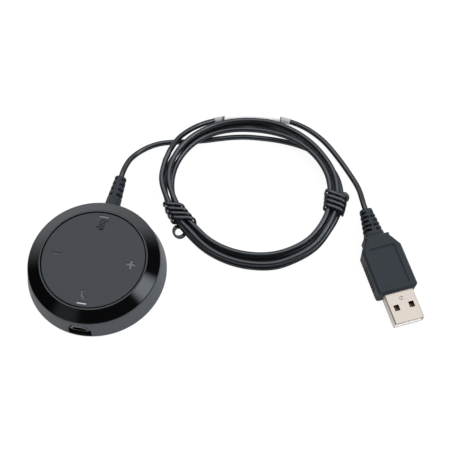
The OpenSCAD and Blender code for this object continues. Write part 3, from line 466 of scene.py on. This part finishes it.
tie_coating = soft_black("tie_coating", srgb(11, 13, 16), 0.28, 3000)
for side, place in tie_places.items():
    tie = wind_tie("twist_tie_strip_" + side, *place)
    tie.data.materials.append(tie_coating)
    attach(tie, "housing")
    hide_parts("twist_tie_" + side)

# Label: a strip of white film wrapped round the cable behind the coil. Its clear ends lap
# over the jacket, which shows through them as grey, with painted shadows of the film's edges at both ends
# of the white.
label_first, label_last = 3, 9
label_gap, label_t = 0.05, 0.2
white_from, white_to = 0.0385, 0.0634
white_edge = 0.0002
# Grey of the clear ends, and the grey and places of the painted shadows cast by the film's edges
clear_grey, edge_shadow_grey = srgb(176, 179, 182), srgb(84, 87, 91)
painted_edge_shadows = ((0.0378, 0.0387), (0.0632, 0.0635))
label = round_wire("label_sleeve", list(map(Vector, tail_route[label_first:label_last + 1])),
                   cable_d + 2 * (label_gap + label_t))
cable_knots = cable.data.splines[0].bezier_points
# The tail has its end and a straight point before its route
first_knot = len(cable_knots) - len(tail) + 2 + label_first
for i, knot in enumerate(label.data.splines[0].bezier_points):
    knot.handle_left = cable_knots[first_knot + i].handle_left
    knot.handle_right = cable_knots[first_knot + i].handle_right
label.data.use_fill_caps = False
wall = label.modifiers.new("film", "SOLIDIFY")
wall.thickness = label_t * MM
wall.offset = -1


def band(tree, value, start, end, edge):
    """Mask that is 1 from start to end, with soft edges outside."""
    return arithmetic(tree, "MULTIPLY", faded(tree, value, start - edge, start, 0, 1),
                      faded(tree, value, end, end + edge, 1, 0))


def place_on(tree, axis):
    """Coordinate along an axis of the object."""
    place = add_node(tree, "TexCoord").outputs["Object"]
    return add_node(tree, "SeparateXYZ", {0: place}).outputs[axis]


def lay_over(material, mask, colour):
    """Shows a colour in a material where a mask is 1."""
    tree = material.node_tree
    base = tree.nodes["Principled BSDF"].inputs["Base Color"]
    tone = add_node(tree, "Mix", {"Factor": mask, "A": base.links[0].from_socket, "B": colour},
                    data_type="RGBA")
    tree.links.new(tone.outputs["Result"], base)


label_film = moulded("label_film", srgb(246, 247, 248), 0.35, 1500, 3e-6, drift=0.05)
tree = label_film.node_tree
x = place_on(tree, "X")
white = band(tree, x, white_from, white_to, white_edge)
lay_over(label_film, arithmetic(tree, "SUBTRACT", 1, white), clear_grey)
# Painted shadows of the film's edges, a dark band at each end of the white
for start, end in painted_edge_shadows:
    lay_over(label_film, band(tree, x, start, end, white_edge), edge_shadow_grey)
label.data.materials.append(label_film)
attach(label, "housing")
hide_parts("cable_label")

# Plug: a soft black grip moulded over the back of a folded nickel shell with a pressed dimple.
# Inside the shell a white tongue carries four gold strips; behind the mouth it is painted brown as the
# shade under the shell.
# Way of the dimple from the grip, and its radius and depth
dimple_x, dimple_r, dimple_d = 2.9, 1.8, 0.2
# How far from the grip's front the tongue's painted shade runs and where its white begins, and the shade's
# brown
tongue_shade_to, tongue_white_from = 9, 10.5
tongue_painted_shade = srgb(92, 82, 70)
grip_half = 8.05
# Radius of the grip's front corners, how far a cutter goes past the grip, and steps of the arc
corner_r, corner_past, corner_steps = 1.4, 0.5, 8
weld = 1e-6
flat_within = math.radians(0.3)
edge_steps, edge_angle = 2, 35


def merged_copy(name, node, body, flat_joined=True):
    """Copy of a CAD node as one skin, in the node's place."""
    bm = bmesh.new()
    bm.from_mesh(nodes[node].data)
    bmesh.ops.remove_doubles(bm, verts=bm.verts, dist=weld)
    if flat_joined:
        bmesh.ops.dissolve_limit(bm, angle_limit=flat_within, verts=bm.verts, edges=bm.edges)
    copy = close_mesh(name, bm)
    if "custom_normal" in copy.data.attributes:
        copy.data.attributes.remove(copy.data.attributes["custom_normal"])
    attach(copy, body)
    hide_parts(node)
    return copy


def soften_edges(copy, width, crease=edge_angle):
    """Rounds a copy's sharp edges by a width in mm; edges from the crease angle on shade as sharp."""
    copy.data.shade_smooth()
    copy.data.set_sharp_from_angle(angle=math.radians(crease))
    rounding = copy.modifiers.new("rounding", "BEVEL")
    rounding.width = width * MM
    rounding.segments = edge_steps
    rounding.limit_method = "ANGLE"
    rounding.angle_limit = math.radians(edge_angle)
    even = copy.modifiers.new("even_shading", "WEIGHTED_NORMAL")
    even.keep_sharp = True


def carve(piece, tool):
    """Takes a tool's shape out of a piece for good; the cut keeps the tool's finishes."""
    carving = piece.modifiers.new("carving", "BOOLEAN")
    carving.object = tool
    carving.operation = "DIFFERENCE"
    carving.solver = "EXACT"
    carving.material_mode = "TRANSFER"
    made = bpy.data.meshes.new_from_object(piece.evaluated_get(bpy.context.evaluated_depsgraph_get()))
    piece.modifiers.clear()
    piece.data = made
    bpy.data.objects.remove(tool)


def finish_node(node, material):
    """Gives a CAD node its material."""
    for slot in nodes[node].material_slots:
        slot.material = material


def raise_block(bm, faces, height):
    """Makes flat faces into a closed upright block with a height in mm."""
    made = bmesh.ops.extrude_face_region(bm, geom=faces, use_keep_orig=True)["geom"]
    raised = [v for v in made if isinstance(v, bmesh.types.BMVert)]
    bmesh.ops.translate(bm, verts=raised, vec=(0, 0, height * MM))
    bmesh.ops.recalc_face_normals(bm, faces=bm.faces)


overmould = moulded("overmould_rubber", srgb(28, 36, 44), 0.6, 5000, 8e-6, drift=0.2)
grip = merged_copy("plug_grip", "plug_overmould", "housing")
grip.data.materials.append(overmould)
grip_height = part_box("plug_overmould")[1].z / MM
past = corner_r + corner_past
for side_way in (plug_way.cross((0, 0, 1)), plug_way.cross((0, 0, -1))):
    # What lies outside the arc at a front corner, as an upright block
    middle = plug_front - corner_r * plug_way + (grip_half - corner_r) * side_way
    outline = [(past, 0)]
    for k in range(corner_steps + 1):
        a = math.radians(90 * k / corner_steps)
        outline.append((corner_r * math.cos(a), corner_r * math.sin(a)))
    outline += [(0, past), (past, past)]
    bm = bmesh.new()
    foot = []
    for ahead, aside in outline:
        place = middle + ahead * plug_way + aside * side_way
        foot.append(bm.verts.new((place.x * MM, place.y * MM, -corner_past * MM)))
    raise_block(bm, [bm.faces.new(foot)], grip_height + 2 * corner_past)
    corner = close_mesh("corner_cutter", bm)
    corner.data.materials.append(overmould)
    carve(grip, corner)
soften_edges(grip, 0.12)

nickel = moulded("shell_nickel", srgb(218, 209, 200), 0.3, 4000, 1e-6, drift=0.06, Metallic=1)
shell = merged_copy("plug_shell_folded", "plug_shell", "housing", flat_joined=False)
shell.data.materials.append(nickel)
dimple_at = (plug_front + dimple_x * plug_way) * MM
dimple_at.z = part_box("plug_shell")[1].z + (dimple_r - dimple_d) * MM
bm = bmesh.new()
bmesh.ops.create_uvsphere(bm, u_segments=48, v_segments=32, radius=dimple_r * MM)
bmesh.ops.translate(bm, verts=bm.verts, vec=dimple_at)
dimple = close_mesh("dimple_cutter", bm)
dimple.data.materials.append(nickel)
carve(shell, dimple)
soften_edges(shell, 0.06, crease=12)

tongue_white = moulded("tongue_white", srgb(242, 242, 240), 0.45, 3000, 3e-6, drift=0.05)
tree = tongue_white.node_tree
along = add_node(tree, "VectorMath", {0: add_node(tree, "TexCoord").outputs["Object"], 1: plug_way},
                 operation="DOT_PRODUCT").outputs["Value"]
grip_end = plug_front @ plug_way
# Painted shade on the tongue inside the shell, fading out before the mouth
deep = faded(tree, along, (grip_end + tongue_shade_to) * MM, (grip_end + tongue_white_from) * MM, 1, 0)
lay_over(tongue_white, deep, tongue_painted_shade)
finish_node("plug_tongue", tongue_white)
gold = moulded("contact_gold", srgb(136, 108, 66), 0.35, 5000, 1e-6, drift=0.1, Metallic=1)
finish_node("plug_contacts", gold)

# Strain relief: moulded on the cable where it leaves the puck, with rows of slots on either
# side of a flat spine so that it bends evenly. The cable runs on through it to the clamp.
relief = merged_copy("relief_boot", "strain_relief", "housing")
soften_edges(relief, 0.1)
relief.data.materials.append(overmould)
finish_node("inner_cable", jacket)

# Housing: a satin dark grey bowl with a drafted wall, its opening for the socket painted black
# as the shade inside it, and a rubber pad set in its foot. Four screws under the pad hold the inner frame
# down on it.
opening_fit = 0.0003
front_normal = -0.5
satin_grey = moulded("housing_satin", srgb(54, 58, 63), 0.42, 6000, 5e-6, drift=0.12, Specular_Tint=cool)
bowl = merged_copy("housing_bowl", "base_shell", "housing")
bowl.data.materials.append(satin_grey)
# Black for the socket's black parts, also painted on as shade inside its opening
opening_black_and_shade = moulded("opening_black_and_shade", srgb(9, 9, 10), 0.5, 4000, 5e-6, Specular_IOR_Level=0.2)
bowl.data.materials.append(opening_black_and_shade)
opening_low, opening_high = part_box("socket_surround")
# Faces inside the opening that don't face the front are painted black as shade
for face in bowl.data.polygons:
    inside = (abs(face.center.x) < opening_high.x + opening_fit and face.center.y < opening_high.y
              and opening_low.z - opening_fit < face.center.z < opening_high.z + opening_fit)
    face.material_index = int(inside and face.normal.y > front_normal)
soften_edges(bowl, 0.08)
foot_rubber = moulded("foot_rubber", srgb(38, 39, 41), 0.75, 3500, 2e-5, drift=0.3)
finish_node("foot_pad", foot_rubber)
screw_steel = moulded("screw_steel", srgb(150, 153, 158), 0.3, 4000, 2e-6, Metallic=1)
for node in ("housing_screws", "board_screws", "clamp_screws"):
    finish_node(node, screw_steel)

# Bezel: a gloss black ring turned up from the housing's seam to a thin flat lip round the
# plate. Its sloping face mirrors the studio.
ring_rise, ring_width = 2.7 * MM, 5.4 * MM
ring_edge, ring_lip = 0.45 * MM, 0.55 * MM
brim_softness, lip_softness = 0.3 * MM, 0.1 * MM
ring_steps, softness_steps = 192, 5
ring_weld = 1e-7
ring_crease = math.radians(40)
level_normal = 0.99
ring_out, ring_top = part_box("bezel_ring")[1].xz
ring_in = ring_out - ring_width
seam_z = ring_top - ring_rise
bm = bmesh.new()
profile = [(ring_in, seam_z), (ring_out, seam_z), (ring_in, ring_top), (ring_in + ring_lip, ring_top),
           (ring_out, seam_z + ring_edge)]
low_in, low_out, top_in, top_out, brim = [bm.verts.new((r, 0, z)) for r, z in profile]
bm.faces.new((low_in, low_out, brim, top_out, top_in))
for corners, softness in (((brim,), brim_softness), ((low_out, top_in, top_out), lip_softness)):
    bmesh.ops.bevel(bm, geom=corners, offset=softness, offset_type="OFFSET", segments=softness_steps,
                    profile=0.5, affect="VERTICES", material=-1)
bmesh.ops.spin(bm, geom=bm.faces[:] + bm.edges[:] + bm.verts[:], cent=(0, 0, 0), axis=(0, 0, 1),
               angle=2 * math.pi, steps=ring_steps, use_merge=True)
bmesh.ops.remove_doubles(bm, verts=bm.verts, dist=ring_weld)
bmesh.ops.recalc_face_normals(bm, faces=bm.faces)
for face in bm.faces:
    face.material_index = int(face.normal.z > level_normal)
bezel = close_mesh("bezel_gloss", bm)
bezel.data.shade_smooth()
bezel.data.set_sharp_from_angle(angle=ring_crease)
even = bezel.modifiers.new("even_shading", "WEIGHTED_NORMAL")
even.keep_sharp = True
gloss_black = moulded("bezel_gloss", srgb(6, 6, 7), 0.08, 900, 0.3e-6, drift=0.2, spread=0.05,
                      Specular_Tint=cool)
lip_satin = moulded("bezel_lip", srgb(54, 56, 60), 0.3, 4000, 2e-6, drift=0.1)
bezel.data.materials.append(gloss_black)
bezel.data.materials.append(lip_satin)
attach(bezel, "housing")
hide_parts("bezel_ring")

# Inner frame, gimbal and clamp: black moulded parts under the bezel. The frame and the gimbal
# carry the plate on pins, and the clamp is screwed down on the end of the cable.
inner_black = moulded("inner_black", srgb(34, 35, 37), 0.5, 4000, 6e-6)
for node in ("inner_frame", "gimbal_ring", "cable_clamp"):
    finish_node(node, inner_black)

# Press plate: one satin disc that tips towards the side that is pressed. Its four signs are
# sunk in its face with a smoother floor and walls painted dark as shade, and two bars of clear plastic show
# through it, with painted shade along their rear.
plate_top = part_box("button_plate")[1].z
sign_depth = 0.45
arc_steps = 14
upright_normal = 0.5
plus_w, minus_w, ear_w, mic_w, cradle_w, stroke_w = 1.1, 1, 0.55, 0.35, 0.34, 0.36
bow_widths = [0.5, 0.65] + [0.75] * (arc_steps - 3) + [0.65, 0.5]
# Colour of the painted shade on the bars' rear edges, and its fade in metres
bar_painted_shade = srgb(48, 50, 53)
bar_fade = (-0.0001, 0.0002)


def arc(middle, radius, first, last):
    """Points of an arc in mm, between two angles in degrees."""
    angles = [math.radians(first + (last - first) * k / arc_steps) for k in range(arc_steps + 1)]
    return [(middle[0] + radius * math.cos(a), middle[1] + radius * math.sin(a)) for a in angles]


def stroke(width, *points):
    """Strip of one width in mm along points in mm: the points, and its width at each."""
    return points, [width] * len(points)


def cut_signs(plate, sign_floor, *strips):
    """Sinks strips in the plate's face, with a floor of its own finish and walls in painted shade."""
    bm = bmesh.new()
    floor_z = plate_top - MM * sign_depth
    for points, widths in strips:
        pairs = []
        for i, (x, y) in enumerate(points):
            way = Vector(points[min(i + 1, len(points) - 1)]) - Vector(points[max(i - 1, 0)])
            side = Vector((-way.y, way.x)).normalized() * widths[i] / 2
            pairs.append([bm.verts.new((MM * (x + k * side.x), MM * (y + k * side.y), floor_z))
                          for k in (-1, 1)])
        faces = [bm.faces.new((a[0], b[0], b[1], a[1])) for a, b in zip(pairs, pairs[1:])]
        raise_block(bm, faces, 2 * sign_depth)
    # Upright walls of the signs get the painted shade
    for face in bm.faces:
        face.material_index = int(abs(face.normal.z) < upright_normal)
    tool = close_mesh("sign_cutter", bm)
    tool.data.materials.append(sign_floor)
    tool.data.materials.append(sign_wall_shade)
    carve(plate, tool)


plate_satin = moulded("plate_satin", srgb(46, 49, 53), 0.45, 6000, 5e-6, drift=0.12, Specular_Tint=cool)
# Painted shade for the signs' walls
sign_wall_shade = moulded("sign_wall_shade", srgb(32, 34, 37), 0.6, 4000, 3e-6)
floor_bright = moulded("sign_floor_bright", srgb(94, 97, 101), 0.3, 4000, 3e-6, drift=0.1)
floor_dim = moulded("sign_floor_dim", srgb(66, 69, 73), 0.35, 4000, 3e-6, drift=0.1)
floor_dark = moulded("sign_floor_dark", srgb(38, 41, 45), 0.5, 4000, 3e-6, drift=0.1)
plate = merged_copy("plate_signed", "button_plate", "plate", flat_joined=False)
plate.data.materials.append(plate_satin)
# Louder and quieter, and a handset whose two ends stand by its bow
cut_signs(plate, floor_bright, stroke(plus_w, (13, -0.1), (17, -0.1)),
          (arc((2.4, -13.93), 3.46, 167.5, 241.5), bow_widths),
          stroke(ear_w, (-0.28, -13.15), (0.08, -13.95)), stroke(ear_w, (1.17, -16.1), (1.53, -16.9)))
cut_signs(plate, floor_bright, stroke(plus_w, (15, -2.1), (15, 1.9)))
cut_signs(plate, floor_dim, stroke(minus_w, (-16.5, 0), (-13, 0)))
# Microphone in its cradle, with a stroke across
cut_signs(plate, floor_dark, stroke(mic_w, (0.85, 15.5), *arc((0, 16.2), 0.85, 0, 180), (-0.85, 15.5)),
          stroke(cradle_w, *arc((0, 14.7), 1.5, 215, 325)), stroke(stroke_w, (-0.95, 12.75), (0.95, 12.75)))
cut_signs(plate, floor_dark, stroke(mic_w, (-0.85, 15.6), *arc((0, 14.9), 0.85, 180, 360), (0.85, 15.6)))
cut_signs(plate, floor_dark, stroke(stroke_w, (-2.1, 13.2), (2.1, 17.3)))
soften_edges(plate, 0.05)
# Light bars, with painted shade along the rear from a given y on, where the window's wall would shade them
for node, name, colour, shade_from in (("call_light_pipe", "bar_white", srgb(186, 190, 194), -0.01857),
                                      ("mute_light_pipe", "bar_grey", srgb(112, 116, 120), 0.01862)):
    bar = moulded(name, colour, 0.35, 3000, 3e-6, drift=0.05)
    y = place_on(bar.node_tree, "Y")
    fade_from, fade_to = bar_fade
    # Painted shade along the bar's rear edge
    rear = faded(bar.node_tree, y, shade_from + fade_from, shade_from + fade_to, 0, 1)
    lay_over(bar, rear, bar_painted_shade)
    finish_node(node, bar)

# Headset socket: a folded steel shell, bare at its lip and painted black on its sides as the shade
# inside its mouth, round a black core with gold strips. A black surround closes the notch in the wall round
# it.
socket_steel = moulded("socket_steel", srgb(196, 197, 200), 0.4, 4000, 2e-6, Metallic=1)
mouth = merged_copy("socket_shell_lip", "headset_socket_shell", "housing")
mouth.data.materials.append(socket_steel)
mouth.data.materials.append(opening_black_and_shade)
# The shell's sides inside the mouth are painted black as shade; its front lip stays bare steel
for face in mouth.data.polygons:
    face.material_index = int(face.normal.y > front_normal)
finish_node("headset_socket_contacts", gold)
finish_node("headset_socket_core", opening_black_and_shade)
finish_node("socket_surround", opening_black_and_shade)

# Circuit board: green, with a sound chip, its crystal and capacitors, two lamps under the
# light bars, and four wires from the cable.
board_finishes = {
    "circuit_board": moulded("board_green", srgb(26, 84, 50), 0.35, 800, 4e-6, drift=0.5),
    "audio_chip": moulded("chip_black", srgb(28, 28, 30), 0.55, 5000, 4e-6),
    "crystal_can": moulded("can_steel", srgb(186, 189, 194), 0.28, 4000, 1e-6, Metallic=1),
    "chip_capacitors": moulded("capacitor_tan", srgb(168, 132, 92), 0.5, 4000, 3e-6),
    "wire_header": moulded("header_white", srgb(230, 228, 220), 0.5, 3000, 3e-6, drift=0.08),
    "led_lamps": moulded("lamp_clear", srgb(236, 234, 214), 0.3, 3000, 2e-6, drift=0.08),
    "wire_power": moulded("wire_red", srgb(170, 34, 34), 0.4, 3000, 3e-6),
    "wire_data_minus": moulded("wire_white", srgb(232, 232, 228), 0.4, 3000, 3e-6, drift=0.08),
    "wire_data_plus": moulded("wire_green", srgb(44, 136, 72), 0.4, 3000, 3e-6),
    "wire_ground": moulded("wire_black", srgb(24, 24, 26), 0.4, 3000, 3e-6),
}
for node, material in board_finishes.items():
    finish_node(node, material)

# Snap domes: thin steel bowls on the board, a pair for each way in which the plate tips.
dome_steel = moulded("dome_steel", srgb(196, 198, 202), 0.25, 3000, 2e-6, Metallic=1)
for node, joint in (("mute_call_domes", "mute_call_tilt"), ("volume_domes", "volume_tilt")):
    domes = merged_copy(node + "_snap", node, "housing", flat_joined=False)
    domes.data.shade_smooth()
    domes.data.set_sharp_from_angle(angle=math.radians(edge_angle))
    domes.data.materials.append(dome_steel)
    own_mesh(domes)
